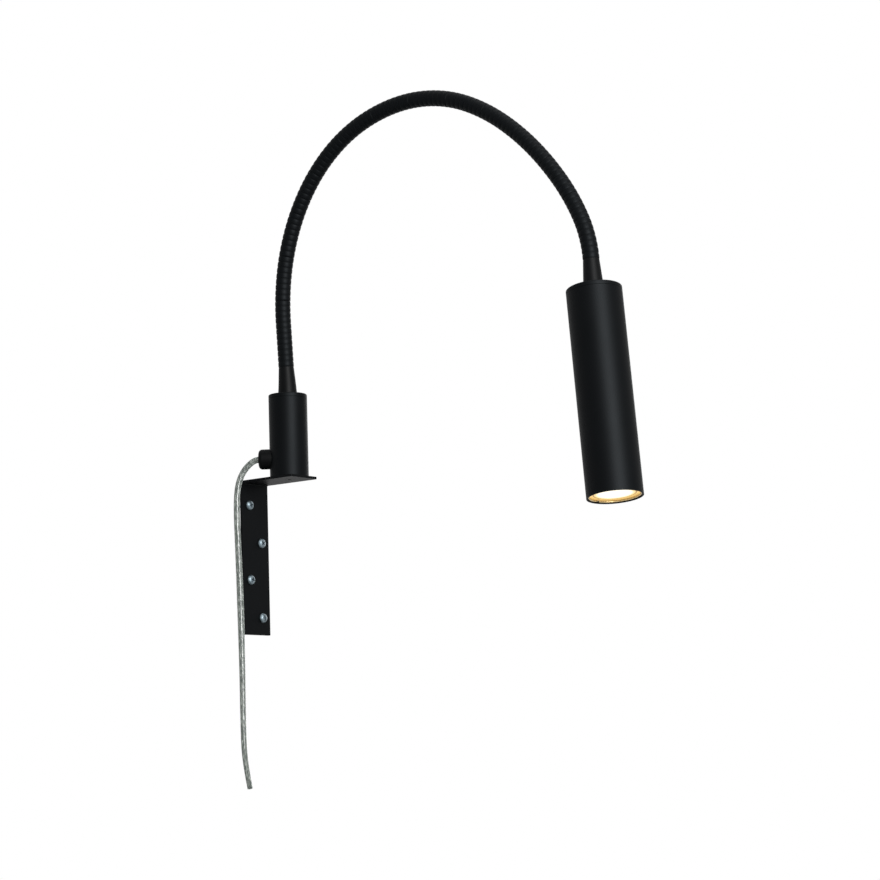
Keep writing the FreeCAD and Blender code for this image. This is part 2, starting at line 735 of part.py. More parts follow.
def make_base_wiring():
    """Terminal block with its screws, the supply leads and the leads up to the arm."""
    block = box("block_body", "block_width", "block_depth", "block_height", "block_rise")
    holes = []
    for number, side in enumerate((-1, 1)):
        hole = cylinder(
            f"block_hole_{number}", "block_bore", "block_height + 2 * overrun", "block_rise - overrun"
        )
        holes.append(beside(hole, x=f"{side} * block_pole"))
    poles = [(side, share) for share in BLOCK_SCREW_SHARES for side in (-1, 1)]
    for number, (side, share) in enumerate(poles):
        well = cylinder(f"block_well_{number}", "block_screw + fit_gap", "block_depth / 2 + overrun")
        well.Placement = FreeCAD.Placement(
            FreeCAD.Vector(
                side * size("block_pole"), 0, size("block_rise") + share * size("block_height")
            ),
            FreeCAD.Rotation(ALONG_X, 90),
        )
        holes.append(well)
    keep(cut("block", block, *holes), "terminal_block", BASE_FRAME)

    screws = []
    slot_depth = size("block_screw") / 2
    for side, share in poles:
        screw = Part.makeCylinder(size("block_screw"), size("block_screw_depth"))
        slot = Part.makeBox(
            size("2 * block_screw + 2 * overrun"), size("block_screw / 2"), slot_depth + size("overrun")
        )
        slot.translate(
            FreeCAD.Vector(
                -size("block_screw + overrun"),
                -size("block_screw / 4"),
                size("block_screw_depth") - slot_depth,
            )
        )
        screw = screw.cut(slot)
        start = size("block_bore + fit_gap")
        screw.Placement = FreeCAD.Placement(
            FreeCAD.Vector(
                side * size("block_pole"), -start, size("block_rise") + share * size("block_height")
            ),
            FreeCAD.Rotation(ALONG_X, 90),
        )
        screws.append(screw)
    solid_feature("terminal_screws", Part.makeCompound(screws), BASE_FRAME)

    to_base = BASE_FRAME.inverse() * GLAND_FRAME
    supply = []
    upper = []
    for side in (-1, 1):
        sideways = side * size("lead_radius + fit_gap")
        pole = side * size("block_pole")
        start = to_base.multVec(FreeCAD.Vector(sideways, 0, size("gland_inner_end + 3 * overrun")))
        inner = to_base.multVec(FreeCAD.Vector(sideways, 0, size(f"gland_inner_end * {GLAND_LEAD_SHARE}")))
        below, entry = [
            FreeCAD.Vector(pole, 0, size(f"block_rise + block_height * ({share})"))
            for share in SUPPLY_SHARES
        ]
        supply.append(wire_tube([start, inner, below, entry], size("lead_radius"))[0])
        spread = side * size("lead_spread")
        top = size("tube_length + cap_rim + cone_length - cone_socket")
        leaves, above = [
            FreeCAD.Vector(pole, 0, size(f"block_rise + block_height * {share}"))
            for share in LEAD_SHARES
        ]
        into = FreeCAD.Vector(spread, 0, size("tube_length - 2 * nut_height - 3 * washer_height"))
        route = [leaves, above, into, FreeCAD.Vector(spread, 0, top)]
        upper.append(wire_tube(route, size("lead_radius"))[0])
    solid_feature("supply_leads", Part.makeCompound(supply), BASE_FRAME)
    solid_feature("base_leads", Part.makeCompound(upper), BASE_FRAME)


# Flexible arm

def bend_place(distance, length, turn, side):
    """The frame at a distance along a piece that bends evenly over its length, straight beyond it."""
    if distance <= 0:
        return FreeCAD.Placement(FreeCAD.Vector(0, 0, distance), FreeCAD.Rotation())
    axis = FreeCAD.Vector(turn, side, 0)
    sideways = axis.cross(ALONG_Z).normalize()
    bent = min(distance, length)
    half = math.radians(axis.Length) * bent / length / 2
    chord = bent * math.sin(half) / half
    corner = sideways * (chord * math.sin(half)) + ALONG_Z * (chord * math.cos(half))
    frame = FreeCAD.Placement(corner, FreeCAD.Rotation(axis, math.degrees(2 * half)))
    return frame * FreeCAD.Placement(FreeCAD.Vector(0, 0, distance - bent), FreeCAD.Rotation())


def neck_piece_frame(number):
    """A function that gives the frame at any distance along one piece of the arm."""
    turn = NECK_TURNS[number]
    side = NECK_SIDE_TURNS.get(number, 0)
    return lambda distance: bend_place(distance, size("neck_piece"), turn, side)


def hoop(radius, frame):
    """A circle across a frame's Z axis, whose seam stays on the frame's X axis."""
    wire = Part.Wire(Part.makeCircle(radius))
    wire.Placement = frame
    return wire


def neck_piece_shape(number):
    """One ribbed and bored piece of the arm, from its lower joint up."""
    frame = neck_piece_frame(number)
    length = size("neck_piece")
    pitch = length / RIBS_PER_PIECE
    root = size("neck_root")
    crest = size("neck_crest")
    first = number == 0
    last = number == len(NECK_TURNS) - 1
    seat = size("cone_socket - overrun")
    half_gap = size("neck_gap / 2")
    slope = size("neck_chamfer")
    if first:
        rings = [(size("neck_spigot"), -seat), (size("neck_spigot"), 0)]
    else:
        rings = [(size("neck_face"), half_gap), (root, half_gap + slope)]
    for rib in range(RIBS_PER_PIECE):
        rise, top, fall, end = [(rib + share) * pitch for share in RIB_SHARES]
        stations = [(root, rise), (crest, top), (crest, fall), (root, end)]
        if rib == 0 and not first:
            stations = stations[1:]
        if rib == RIBS_PER_PIECE - 1 and not last:
            stations = stations[:-1]
        rings += stations
    if last:
        rings += [(size("neck_spigot"), length), (size("neck_spigot"), length + seat)]
    else:
        rings += [(root, length - half_gap - slope), (size("neck_face"), length - half_gap)]
    body = Part.makeLoft([hoop(radius, frame(place)) for radius, place in rings], True, True)

    past = size("overrun")
    low = (-seat if first else 0) - past
    high = length + (seat if last else 0) + past
    inner = [low] + [rib * pitch for rib in range(RIBS_PER_PIECE + 1)] + [high]
    bore_wires = [hoop(size("neck_bore"), frame(place)) for place in inner]
    return body.cut(Part.makeLoft(bore_wires, True, True))


def make_neck(start):
    """All pieces of the arm from its start frame, and the frame at its end."""
    frame = start
    for number in range(len(NECK_TURNS)):
        if number:
            axis = ALONG_Y if number in NECK_SIDE_JOINTS else ALONG_X
            axis = frame.Rotation.multVec(axis)
            place = frame.Base
            print(
                "neck joint", number,
                "at", [round(value, 4) for value in place],
                "axis", [round(value, 6) for value in axis],
            )
        solid_feature(f"neck_piece_{number + 1:02d}", neck_piece_shape(number), frame)
        frame = frame * neck_piece_frame(number)(size("neck_piece"))
    return frame


# Lamp head, from its top face down its own axis

def make_head(frame):
    """Head tube, top cap, strap, lampholder, lamp and retaining ring."""
    outside = cylinder("head_outside", "head_radius", "head_length - cap_rim", "-head_length")
    inside = cylinder(
        "head_inside", "head_radius - head_wall", "head_length + 2 * overrun", "-head_length - overrun"
    )
    keep(cut("head_tube", outside, inside), "head_tube", frame)
    make_cap("head_top_cap", "head_radius", "head_wall", frame)
    make_strap(frame)
    make_lampholder(frame)
    make_lamp(frame)
    make_retaining_ring(frame)
    make_head_leads(frame)


def holder_top():
    """Top of the lampholder, below the head's top face."""
    return "(lamp_recess + lamp_length + loose_gap + holder_height - head_length)"


def make_strap(frame):
    """The bent strap: a top held by the nipple's nut, two legs and two feet turned inwards."""
    top = box(
        "strap_top", "2 * strap_span", "strap_width", "strap_thickness", "-cap_plate - strap_thickness"
    )
    hole = cylinder(
        "strap_hole",
        "nipple_radius + fit_gap",
        "strap_thickness + 2 * overrun",
        "-cap_plate - strap_thickness - overrun",
    )
    parts = [cut("strap_top", top, hole)]
    leg_height = f"-cap_plate - ({holder_top()})"
    for number, side in enumerate((-1, 1)):
        leg_x = f"{side} * (strap_span - strap_thickness / 2)"
        foot_x = f"{side} * (strap_span - strap_foot / 2)"
        leg = box(
            f"strap_leg_{number}", "strap_thickness", "strap_width", leg_height, holder_top(), x=leg_x
        )
        foot = box(
            f"strap_foot_{number}", "strap_foot", "strap_width", "strap_thickness", holder_top(), x=foot_x
        )
        foot_hole = cylinder(
            f"strap_foot_hole_{number}",
            "holder_screw + fit_gap",
            "strap_thickness + 2 * overrun",
            f"{holder_top()} - overrun",
        )
        beside(foot_hole, x=f"{side} * (strap_span - strap_foot * {FOOT_HOLE_SHARE})")
        parts += [leg, cut(f"strap_foot_{number}", foot, foot_hole)]
    strap = document.addObject("Part::MultiFuse", "strap_whole")
    strap.Shapes = parts
    strap.Refine = True
    keep(strap, "holder_strap", frame)


def make_lampholder(frame):
    """The ceramic holder with its two pin holes, and the two screws through the strap's feet."""
    bottom = f"{holder_top()} - holder_height"
    body = box("holder_body", "holder_length", "holder_width", "holder_height", bottom)
    holes = []
    for number, side in enumerate((-1, 1)):
        pin = cylinder(
            f"holder_pin_hole_{number}",
            "pin_radius + loose_gap",
            "pin_length + loose_gap + overrun",
            f"{bottom} - overrun",
        )
        holes.append(beside(pin, x=f"{side} * pin_spacing / 2"))
        thread = cylinder(
            f"holder_thread_{number}",
            "holder_screw + fit_gap",
            "holder_screw_reach + overrun",
            f"{holder_top()} - holder_screw_reach",
        )
        holes.append(beside(thread, x=f"{side} * (strap_span - strap_foot * {FOOT_HOLE_SHARE})"))
        wire = cylinder(
            f"holder_wire_hole_{number}",
            "lead_radius + fit_gap",
            "holder_height + overrun",
            f"{bottom} + holder_height * {WIRE_HOLE_SHARE}",
        )
        holes.append(beside(wire, x=f"{side} * pin_spacing / 2"))
    keep(cut("holder", body, *holes), "lampholder", frame)

    top = size(f"{holder_top()} + strap_thickness")
    reach = size("holder_screw_reach - overrun + strap_thickness")
    screw = Part.makeCylinder(size("holder_screw"), reach, FreeCAD.Vector(0, 0, top - reach))
    head = Part.makeCylinder(
        size("holder_screw_head"), size("holder_screw_rise"), FreeCAD.Vector(0, 0, top)
    )
    slot = Part.makeBox(
        size("2 * holder_screw_head + 2 * overrun"), size("holder_screw / 2"), size("overrun")
    )
    slot.translate(
        FreeCAD.Vector(
            -size("holder_screw_head + overrun"),
            -size("holder_screw / 4"),
            top + size("holder_screw_rise - holder_screw / 2"),
        )
    )
    screw = screw.fuse(head).cut(slot)
    screw.translate(FreeCAD.Vector(size(f"strap_span - strap_foot * {FOOT_HOLE_SHARE}"), 0, 0))
    solid_feature("holder_screws", mirrored_pair(screw), frame)


def make_lamp(frame):
    """The reflector lamp: its shell with the base, two pins and the front lens."""
    face = "lamp_recess - head_length"
    back = f"{face} + lamp_length"
    inner_rim = "lamp_radius - lamp_shell"
    shell = turned_body(
        "lamp_shell",
        [
            ("0", back),
            ("lamp_base", back),
            ("lamp_base", f"{back} - lamp_base_height"),
            ("lamp_radius", f"{face} + lamp_rim"),
            ("lamp_radius", face),
            (inner_rim, face),
            (inner_rim, f"{face} + lamp_rim"),
            ("lamp_base - lamp_shell", f"{back} - lamp_base_height"),
            ("0", f"{back} - lamp_base_height"),
        ],
    )
    keep(shell, "lamp_shell", frame)
    lens_edge = f"{inner_rim} - fit_gap"
    lens = turned_body(
        "lens",
        [
            ("0", face),
            ("lens_radius", face),
            (lens_edge, f"{face} + lens_thickness / 2"),
            (lens_edge, f"{face} + lens_thickness"),
            ("0", f"{face} + lens_thickness"),
        ],
    )
    keep(lens, "lamp_lens", frame)

    neck = size(f"pin_length * {PIN_NECK_SHARE}")
    pin = Part.makeCylinder(size(f"pin_radius * {PIN_NECK_SHARE}"), neck, FreeCAD.Vector(0, 0, size(back)))
    pin_head = Part.makeCylinder(
        size("pin_radius"), size("pin_length") - neck, FreeCAD.Vector(0, 0, size(back) + neck)
    )
    pin = pin.fuse(pin_head)
    pin.translate(FreeCAD.Vector(size("pin_spacing / 2"), 0, 0))
    solid_feature("lamp_pins", mirrored_pair(pin), frame)


def make_retaining_ring(frame):
    """An open wire ring under the lamp's rim, with one end turned in to be gripped."""
    radius = size("head_radius - head_wall - spring_wire - fit_gap")
    wire = size("spring_wire")
    level = size("lamp_recess - head_length - spring_wire - fit_gap")
    knee = size("spring_knee")
    middle = FreeCAD.Vector(math.sqrt((radius - knee) ** 2 - knee ** 2), knee, 0)
    joint = middle * (radius / middle.Length)
    opening = size("spring_opening") / radius
    far = FreeCAD.Vector(-radius, 0, 0)
    end = FreeCAD.Vector(radius * math.cos(opening), -radius * math.sin(opening), 0)
    start = FreeCAD.Vector(middle.x - size("spring_ear"), 0, 0)
    foot = FreeCAD.Vector(middle.x, 0, 0)
    bow = middle + (foot - middle + joint - middle).normalize() * knee
    path = Part.Wire([
        Part.LineSegment(start, foot).toShape(),
        Part.Arc(foot, bow, joint).toShape(),
        Part.Arc(joint, far, end).toShape(),
    ])
    section = Part.Wire(Part.makeCircle(wire, start, ALONG_X))
    ring = path.makePipeShell([section], True, True)
    ring.rotate(FreeCAD.Vector(), ALONG_Z, RING_TURN)
    ring.translate(FreeCAD.Vector(0, 0, level))
    solid_feature("retaining_ring", ring, frame)


def make_head_leads(frame):
    """The two leads from the upper nipple down to the lampholder."""
    leads = []
    foot = size(f"{holder_top()} - holder_height / 4")
    for side in (-1, 1):
        spread = side * size("lead_spread")
        pole = side * size("pin_spacing / 2")
        start = FreeCAD.Vector(spread, 0, size("cone_length - cone_socket"))
        leaves = FreeCAD.Vector(spread, 0, -size("cap_plate + 4 * nut_height"))
        above = FreeCAD.Vector(pole, 0, size(f"{holder_top()} + 2 * holder_height"))
        end = FreeCAD.Vector(pole, 0, foot)
        leads.append(wire_tube([start, leaves, above, end], size("lead_radius"))[0])
    solid_feature("head_leads", Part.makeCompound(leads), frame)


def check_and_write():
    """Stops on any failed object or bad shape, then writes one file for each sub-part."""
    document.recompute()
    for item in document.Objects:
        if "Invalid" in item.State or "Error" in item.State:
            raise RuntimeError(f"{item.Name} failed: {item.State}")
    os.makedirs("parts", exist_ok=True)
    for item in SUBPARTS:
        shape = item.Shape
        if shape.isNull() or not shape.isValid() or not shape.Solids:
            raise RuntimeError(f"{item.Label} has no valid solid")
    for item in SUBPARTS:
        item.Shape.exportStep(f"parts/{item.Label}.step")
        print(item.Label, "solids", len(item.Shape.Solids), "volume", round(item.Shape.Volume, 1))


make_bracket()
make_wall_screws()
make_base()
make_gland()
make_cord()
make_base_wiring()
CAP_FACE = BASE_FRAME * moved("0", "0", "tube_length + cap_rim")
make_cone_set("lower", CAP_FACE, "0")
NECK_END = make_neck(CAP_FACE * cone_place("lower", size("cone_length")))
# The head's frame looks back up the arm, so its own Z axis points from the head to the arm
HEAD_FRAME = NECK_END * turned(ALONG_X, 180) * cone_place("upper", size("cone_length")).inverse()
make_cone_set("upper", HEAD_FRAME, "strap_thickness")
make_head(HEAD_FRAME)
print("head frame", HEAD_FRAME)
check_and_write()
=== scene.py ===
"""A reading lamp for a wall, lit, with a ribbed flexible arm and a clear cord.

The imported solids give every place. This script dresses them: it skins the arm with soft ribbed
sleeves, lays the clear cord over its route, lights the lamp and sets up the studio.
"""

import json
import logging
import math
from dataclasses import dataclass, field
from enum import Enum
from typing import Iterable, Sequence, Union

import bmesh
import bpy
from mathutils import Matrix, Vector


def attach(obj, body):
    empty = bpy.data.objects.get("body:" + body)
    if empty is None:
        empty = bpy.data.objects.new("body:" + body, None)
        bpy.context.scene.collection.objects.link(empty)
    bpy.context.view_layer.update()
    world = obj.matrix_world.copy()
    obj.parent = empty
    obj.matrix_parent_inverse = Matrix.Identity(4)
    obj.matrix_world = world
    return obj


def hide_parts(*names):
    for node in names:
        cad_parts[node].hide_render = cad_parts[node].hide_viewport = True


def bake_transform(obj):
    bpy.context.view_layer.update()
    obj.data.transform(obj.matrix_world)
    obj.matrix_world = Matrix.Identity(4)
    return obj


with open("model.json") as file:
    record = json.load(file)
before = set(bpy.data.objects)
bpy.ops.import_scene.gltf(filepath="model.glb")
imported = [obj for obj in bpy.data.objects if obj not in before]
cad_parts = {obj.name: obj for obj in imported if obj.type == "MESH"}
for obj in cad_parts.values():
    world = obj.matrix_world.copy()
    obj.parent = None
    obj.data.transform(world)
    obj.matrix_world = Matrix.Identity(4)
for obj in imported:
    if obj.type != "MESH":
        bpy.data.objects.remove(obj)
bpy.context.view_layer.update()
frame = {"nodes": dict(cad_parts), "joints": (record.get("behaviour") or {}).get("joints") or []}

logger = logging.getLogger("wall_lamp")

Colour = tuple[float, float, float]
Band = tuple[float, float]
Number = Union[float, "Flow"]

MM = 0.001

# Screen colours run to 255, along a straight piece up to a step and a power curve above it
WHITE = 255.0
SCREEN_STEP = 0.04045
SCREEN_SLOPE = 12.92
SCREEN_LIFT = 0.055
SCREEN_POWER = 2.4

# The cool tint of the black surfaces' shine
SHEEN: Colour = (0.86, 0.94, 1.0)
# Octaves of a noise, from smooth blotches to ragged ones, and the value that it varies around
SMOOTH, SOFT, FINE, BROKEN, RAGGED = 0.0, 1.0, 2.0, 3.0, 4.0
MIDDLE = 0.5
# The colour sockets of a Mix node
MIX_FIRST, MIX_SECOND, MIX_RESULT = 6, 7, 2
# Points of a mesh nearer than this are one point
MERGE_DISTANCE = 0.001 * MM


def paint(red: float, green: float, blue: float) -> Colour:
    """A colour as it is read off a photograph, made linear.

    Args:
        red: red from 0 to 255.
        green: green from 0 to 255.
        blue: blue from 0 to 255.

    Returns:
        The linear colour that a shader takes.
    """
    linear = []
    for share in (red / WHITE, green / WHITE, blue / WHITE):
        if share <= SCREEN_STEP:
            linear.append(share / SCREEN_SLOPE)
        else:
            linear.append(((share + SCREEN_LIFT) / (1 + SCREEN_LIFT)) ** SCREEN_POWER)
    return (linear[0], linear[1], linear[2])


# Materials: the values that flow through their nodes


class Flow:
    """A value on its way through a node tree, with sums written as sums."""

    def __init__(self, tree: bpy.types.NodeTree, socket: bpy.types.NodeSocket) -> None:
        """Holds the socket that the value comes out of."""
        self.tree = tree
        self.socket = socket

    def node(self, kind: str, inputs: dict, output: Union[str, int] = 0, **settings) -> "Flow":
        """Adds a node fed by other flows or by constants.

        Args:
            kind: Blender's name of the node.
            inputs: socket name or number to a flow or a constant.
            output: the output socket that the result reads.
            **settings: properties of the node itself.

        Returns:
            The node's output as a flow.
        """
        made = self.tree.nodes.new(kind)
        for name, value in settings.items():
            setattr(made, name, value)
        for name, value in inputs.items():
            if isinstance(value, Flow):
                self.tree.links.new(value.socket, made.inputs[name])
            else:
                made.inputs[name].default_value = value
        return Flow(self.tree, made.outputs[output])

    def _maths(self, operation: str, first: Number, second: Number = 0.0) -> "Flow":
        """One step of arithmetic."""
        return self.node("ShaderNodeMath", {0: first, 1: second}, operation=operation)

    def __add__(self, other: Number) -> "Flow":
        """self + other."""
        return self._maths("ADD", self, other)

    def __radd__(self, other: Number) -> "Flow":
        """other + self."""
        return self._maths("ADD", other, self)

    def __sub__(self, other: Number) -> "Flow":
        """self - other."""
        return self._maths("SUBTRACT", self, other)

    def __rsub__(self, other: Number) -> "Flow":
        """other - self."""
        return self._maths("SUBTRACT", other, self)

    def __mul__(self, other: Number) -> "Flow":
        """self * other."""
        return self._maths("MULTIPLY", self, other)

    def __rmul__(self, other: Number) -> "Flow":
        """other * self."""
        return self._maths("MULTIPLY", other, self)

    def __truediv__(self, other: Number) -> "Flow":
        """self / other."""
        return self._maths("DIVIDE", self, other)

    def wave(self) -> "Flow":
        """The sine of the value."""
        return self._maths("SINE", self)

    def between(self, low: float, high: float) -> "Flow":
        """0 below low, 1 above high and a soft step between.

        Args:
            low: value at which the step starts.
            high: value at which the step ends.

        Returns:
            The stepped flow.
        """
        sockets = {"Value": self, "From Min": low, "From Max": high}
        return self.node("ShaderNodeMapRange", sockets, interpolation_type="SMOOTHSTEP")

    def blend(self, start: Union[Colour, "Flow"], end: Colour) -> "Flow":
        """Mixes two colours by this value.

        Args:
            start: colour at 0, or a flow of colours.
            end: colour at 1.

        Returns:
            The mixed colour.
        """
        below = start if isinstance(start, Flow) else (*start, 1.0)
        sockets = {"Factor": self, MIX_FIRST: below, MIX_SECOND: (*end, 1.0)}
        return self.node("ShaderNodeMix", sockets, MIX_RESULT, data_type="RGBA")


class Surface:
    """One material under construction, with its coordinates and its shader."""

    def __init__(self, name: str, **constants: Union[float, Colour]) -> None:
        """Starts a material.

        Args:
            name: name of the material.
            **constants: values that are the same all over, by the shader's socket names, with
                underscores for spaces.
        """
        self.material = bpy.data.materials.new(name)
        self.material.use_nodes = True
        self.tree = self.material.node_tree
        self.shader = self.tree.nodes["Principled BSDF"]
        coordinates = self.tree.nodes.new("ShaderNodeTexCoord")
        self.place = Flow(self.tree, coordinates.outputs["Object"])
        self.unrolled = Flow(self.tree, coordinates.outputs["UV"])
        for name, value in constants.items():
            socket = self.shader.inputs[name.replace("_", " ")]
            socket.default_value = (*value, 1.0) if isinstance(value, tuple) else value

    def drive(self, socket: str, flow: Flow) -> None:
        """Feeds a varying value into one of the shader's sockets."""
        self.tree.links.new(flow.socket, self.shader.inputs[socket])

    def grain(self, feature: float, detail: float = FINE, place: Union[Flow, None] = None) -> Flow:
        """Soft noise around its middle value.

        Args:
            feature: size of one blotch, in metres.
            detail: number of finer octaves.
            place: coordinates other than the object's own.

        Returns:
            The noise.
        """
        sockets = {"Vector": place or self.place, "Scale": 1.0 / feature, "Detail": detail}
        return self.place.node("ShaderNodeTexNoise", sockets, "Fac")

    def drawn_out(self, squeeze: float) -> Flow:
        """The object's coordinates squeezed in height, which draws a pattern out upright."""
        sockets = {"Vector": self.place, "Scale": (1.0, 1.0, squeeze)}
        return self.place.node("ShaderNodeMapping", sockets)

    def attribute(self, name: str) -> Flow:
        """A value that the mesh carries."""
        return self.place.node("ShaderNodeAttribute", {}, "Fac", attribute_name=name)

    def raise_by(self, height: Flow, depth: float, strength: float = 0.5) -> None:
        """Bumps the surface.

        Args:
            height: the height's flow, from 0 to 1.
            depth: metres between its lowest and highest.
            strength: how much of the bump shows.
        """
        sockets = {"Height": height, "Distance": depth, "Strength": strength}
        self.drive("Normal", height.node("ShaderNodeBump", sockets, "Normal"))


# Finishes


@dataclass(frozen=True)
class PowderCoat:
    """Satin black powder coat: a fine orange peel under faint clouds and specks."""

    name: str = "satin_black_coat"
    deep: Colour = paint(4, 5, 6)
    raised: Colour = paint(9, 10, 12)
    roughness: float = 0.49
    cloud_roughness: float = 0.08
    speck_roughness: float = 0.04
    specular: float = 0.048
    peel: float = 0.7 * MM
    peel_depth: float = 0.035 * MM
    peel_strength: float = 0.6
    speck: float = 0.28 * MM
    speck_band: Band = (0.6, 0.74)
    cloud: float = 26 * MM
    cloud_share: float = 0.7

    def build(self) -> bpy.types.Material:
        """Makes the material.

        Returns:
            The material.
        """
        surface = Surface(self.name, Specular_IOR_Level=self.specular, Specular_Tint=SHEEN)
        peel = surface.grain(self.peel, SOFT)
        cloud = surface.grain(self.cloud, BROKEN)
        speck = surface.grain(self.speck, SMOOTH).between(*self.speck_band)
        light = cloud * self.cloud_share + speck * (1.0 - self.cloud_share)
        surface.drive("Base Color", light.blend(self.deep, self.raised))
        uneven = self.cloud_roughness * (cloud - MIDDLE) + self.speck_roughness * speck
        surface.drive("Roughness", self.roughness + uneven)
        surface.raise_by(peel, self.peel_depth, self.peel_strength)
        return surface.material


@dataclass(frozen=True)
class ArmSkin:
    """Soft black skin of the ribbed arm, rubbed a little smoother on the crests, with painted shade in
    the grooves and painted highlights on the crests.
    """

    name: str = "arm_skin"
    # Painted shade and highlight: the grooves take the darker colour and the crests the lighter one
    groove: Colour = paint(3, 4, 5)
    crest: Colour = paint(9, 11, 13)
    rib_shade_share: float = 0.8
    groove_roughness: float = 0.6
    crest_roughness: float = 0.5
    handled_roughness: float = 0.1
    specular: float = 0.045
    pore: float = 0.5 * MM
    pore_depth: float = 0.03 * MM
    handled: float = 18 * MM

    def build(self) -> bpy.types.Material:
        """Makes the material.

        Returns:
            The material.
        """
        surface = Surface(self.name, Specular_IOR_Level=self.specular, Specular_Tint=SHEEN)
        rib = surface.attribute("rib")
        handled = surface.grain(self.handled, BROKEN)
        # The rib's height paints shade into the grooves and highlights onto the crests
        light = rib * self.rib_shade_share + handled * (1.0 - self.rib_shade_share)
        surface.drive("Base Color", light.blend(self.groove, self.crest))
        smoother = self.groove_roughness - self.crest_roughness
        uneven = self.handled_roughness * (handled - MIDDLE)
        surface.drive("Roughness", self.groove_roughness - smoother * rib + uneven)
        surface.raise_by(surface.grain(self.pore), self.pore_depth)
        return surface.material


@dataclass(frozen=True)
class BareMetal:
    """Metal with drawing lines, faint stains and a worn shine."""

    name: str
    colour: Colour
    stain: Colour
    roughness: float
    line: float = 0.25 * MM
    line_squeeze: float = 0.12
    line_depth: float = 0.01 * MM
    line_roughness: float = 0.2
    blotch: float = 3 * MM
    blotch_band: Band = (0.42, 0.7)
    blotch_roughness: float = 0.12

    def build(self) -> bpy.types.Material:
        """Makes the material.

        Returns:
            The material.
        """
        surface = Surface(self.name, Metallic=1.0)
        blotch = surface.grain(self.blotch, RAGGED)
        lines = surface.grain(self.line, FINE, surface.drawn_out(self.line_squeeze))
        stained = blotch.between(*self.blotch_band)
        surface.drive("Base Color", stained.blend(self.colour, self.stain))
        uneven = self.line_roughness * (lines - MIDDLE) + self.blotch_roughness * (blotch - MIDDLE)
        surface.drive("Roughness", self.roughness + uneven)
        surface.raise_by(lines, self.line_depth)
        return surface.material


@dataclass(frozen=True)
class Moulded:
    """Moulded plastic, rubber, glass or fired clay with a fine skin, which may glow."""

    name: str
    colour: Colour
    shade: Colour
    roughness: float
    specular: float = 0.45
    skin: float = 0.4 * MM
    skin_depth: float = 0.02 * MM
    skin_roughness: float = 0.08
    cloud: float = 9 * MM
    cloud_roughness: float = 0.12
    glow: Colour = (0.0, 0.0, 0.0)

    def build(self) -> bpy.types.Material:
        """Makes the material.

        Returns:
            The material.
        """
        surface = Surface(
            self.name, Specular_IOR_Level=self.specular,
            Emission_Color=self.glow, Emission_Strength=float(any(self.glow)),
        )
        cloud = surface.grain(self.cloud, BROKEN)
        skin = surface.grain(self.skin)
        surface.drive("Base Color", cloud.blend(self.shade, self.colour))
        uneven = self.cloud_roughness * (cloud - MIDDLE) + self.skin_roughness * (skin - MIDDLE)
        surface.drive("Roughness", self.roughness + uneven)
        surface.raise_by(skin, self.skin_depth)
        return surface.material


@dataclass(frozen=True)
class ClearSheath:
    """Clear soft sheath of the cord, a little cloudy."""

    name: str = "clear_sheath"
    pale: Colour = paint(206, 212, 206)
    smoky: Colour = paint(112, 121, 116)
    clearness: float = 0.5
    refraction: float = 1.46
    roughness: float = 0.2
    fleck: float = 1.3 * MM
    fleck_squeeze: float = 0.3
    fleck_band: Band = (0.4, 0.68)
    ripple: float = 5 * MM
    ripple_squeeze: float = 0.4
    ripple_depth: float = 0.12 * MM
    ripple_roughness: float = 0.16

    def build(self) -> bpy.types.Material:
        """Makes the material.

        Returns:
            The material.
        """
        surface = Surface(self.name, Transmission_Weight=self.clearness, IOR=self.refraction)
        ripple = surface.grain(self.ripple, BROKEN, surface.drawn_out(self.ripple_squeeze))
        fleck = surface.grain(self.fleck, RAGGED, surface.drawn_out(self.fleck_squeeze))
        surface.drive("Base Color", fleck.between(*self.fleck_band).blend(self.smoky, self.pale))
        surface.drive("Roughness", self.roughness + self.ripple_roughness * (ripple - MIDDLE))
        surface.raise_by(ripple, self.ripple_depth)
        return surface.material


@dataclass(frozen=True)
class TinnedStrands:
    """Fine tinned wires laid in a long twist, seen through the sheath, with painted shade between the
    wires and painted glints on them.
    """

    name: str = "tinned_strands"
    bright: Colour = paint(216, 221, 215)
    # Painted shade: the dark colour between the wires
    between: Colour = paint(54, 60, 57)
    metallic: float = 0.55
    roughness: float = 0.38
    wires: float = 9.0
    lay: float = 14 * MM
    wire_share: float = 0.6
    wire_depth: float = 0.08 * MM
    wire_strength: float = 0.7
    glint: float = 2.5 * MM
    glint_roughness: float = 0.25

    def build(self) -> bpy.types.Material:
        """Makes the material.

        Returns:
            The material.
        """
        surface = Surface(self.name, Metallic=self.metallic)
        along = surface.unrolled.node("ShaderNodeSeparateXYZ", {0: surface.unrolled})
        around = Flow(surface.tree, along.socket.node.outputs["Y"])
        turns = around * self.wires + along / self.lay
        wave = (turns * math.tau).wave() * MIDDLE + MIDDLE
        glint = surface.grain(self.glint, BROKEN)
        # The twist paints shade between the wires, and the noise paints glints on them
        light = wave * self.wire_share + glint * (1.0 - self.wire_share)
        surface.drive("Base Color", light.blend(self.between, self.bright))
        surface.drive("Roughness", self.roughness + self.glint_roughness * (glint - MIDDLE))
        surface.raise_by(wave, self.wire_depth, self.wire_strength)
        return surface.material


